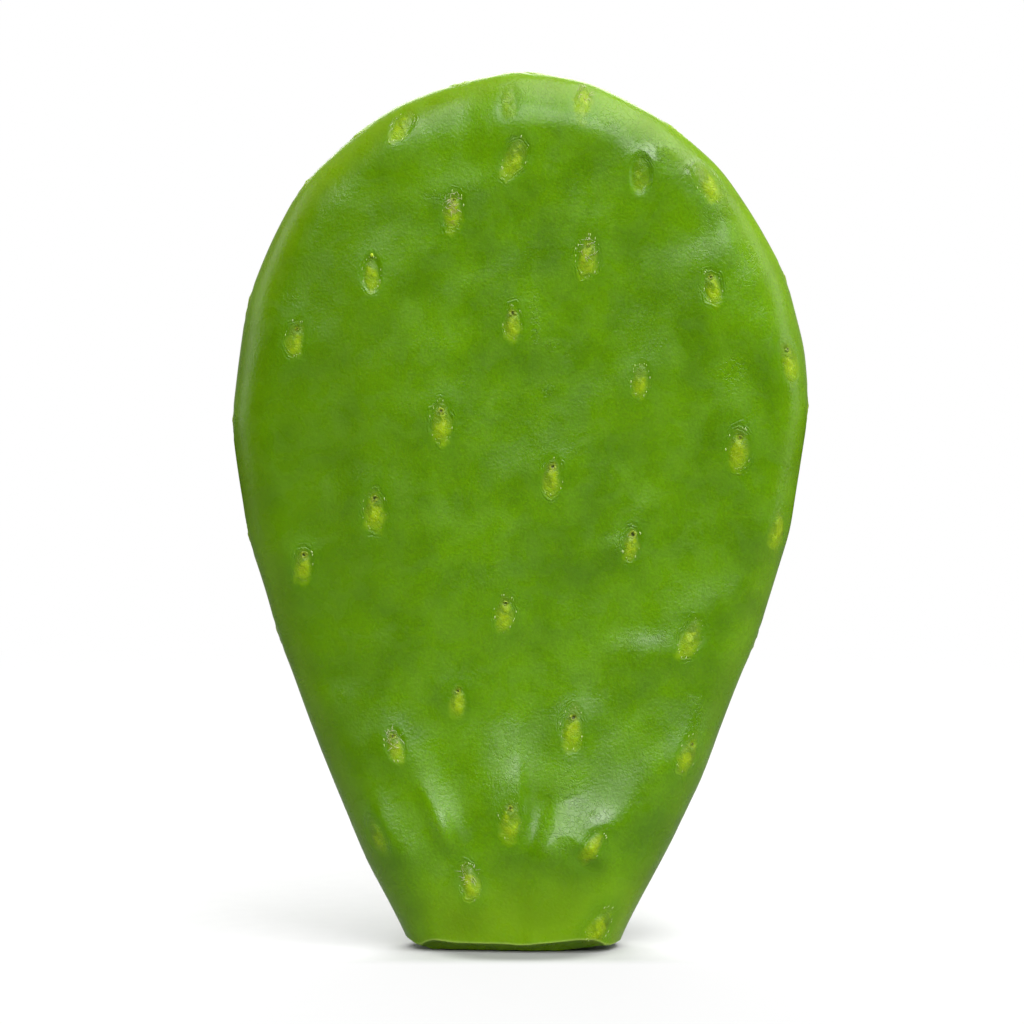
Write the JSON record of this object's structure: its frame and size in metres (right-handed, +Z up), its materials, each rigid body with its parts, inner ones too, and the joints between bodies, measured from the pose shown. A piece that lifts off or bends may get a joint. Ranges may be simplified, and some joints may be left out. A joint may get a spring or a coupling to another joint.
{
  "type": "prickly pear cactus pad",
  "caption": "Fresh prickly pear pad cleaned of its spines, a thick egg-shaped green stem segment with oval areoles, standing on its cut end.",
  "frame": {"origin": "middle of the footprint on the surface that the cut end stands on, under the centre of the bounding box", "axes": "+Z up from the cut end to the far rim, +X to the right of the shown face, +Y from the shown face to the back through the thickness"},
  "size_m": [0.1318, 0.0246, 0.1999],
  "materials": {
    "pad_skin": "waxy, half-glossy green plant skin with milky bloom patches, yellow-green areole scars and a cut end of wet olive-green flesh"
  },
  "bodies": {
    "root": {"pad": "pad_skin"}
  },
  "joints": []
}
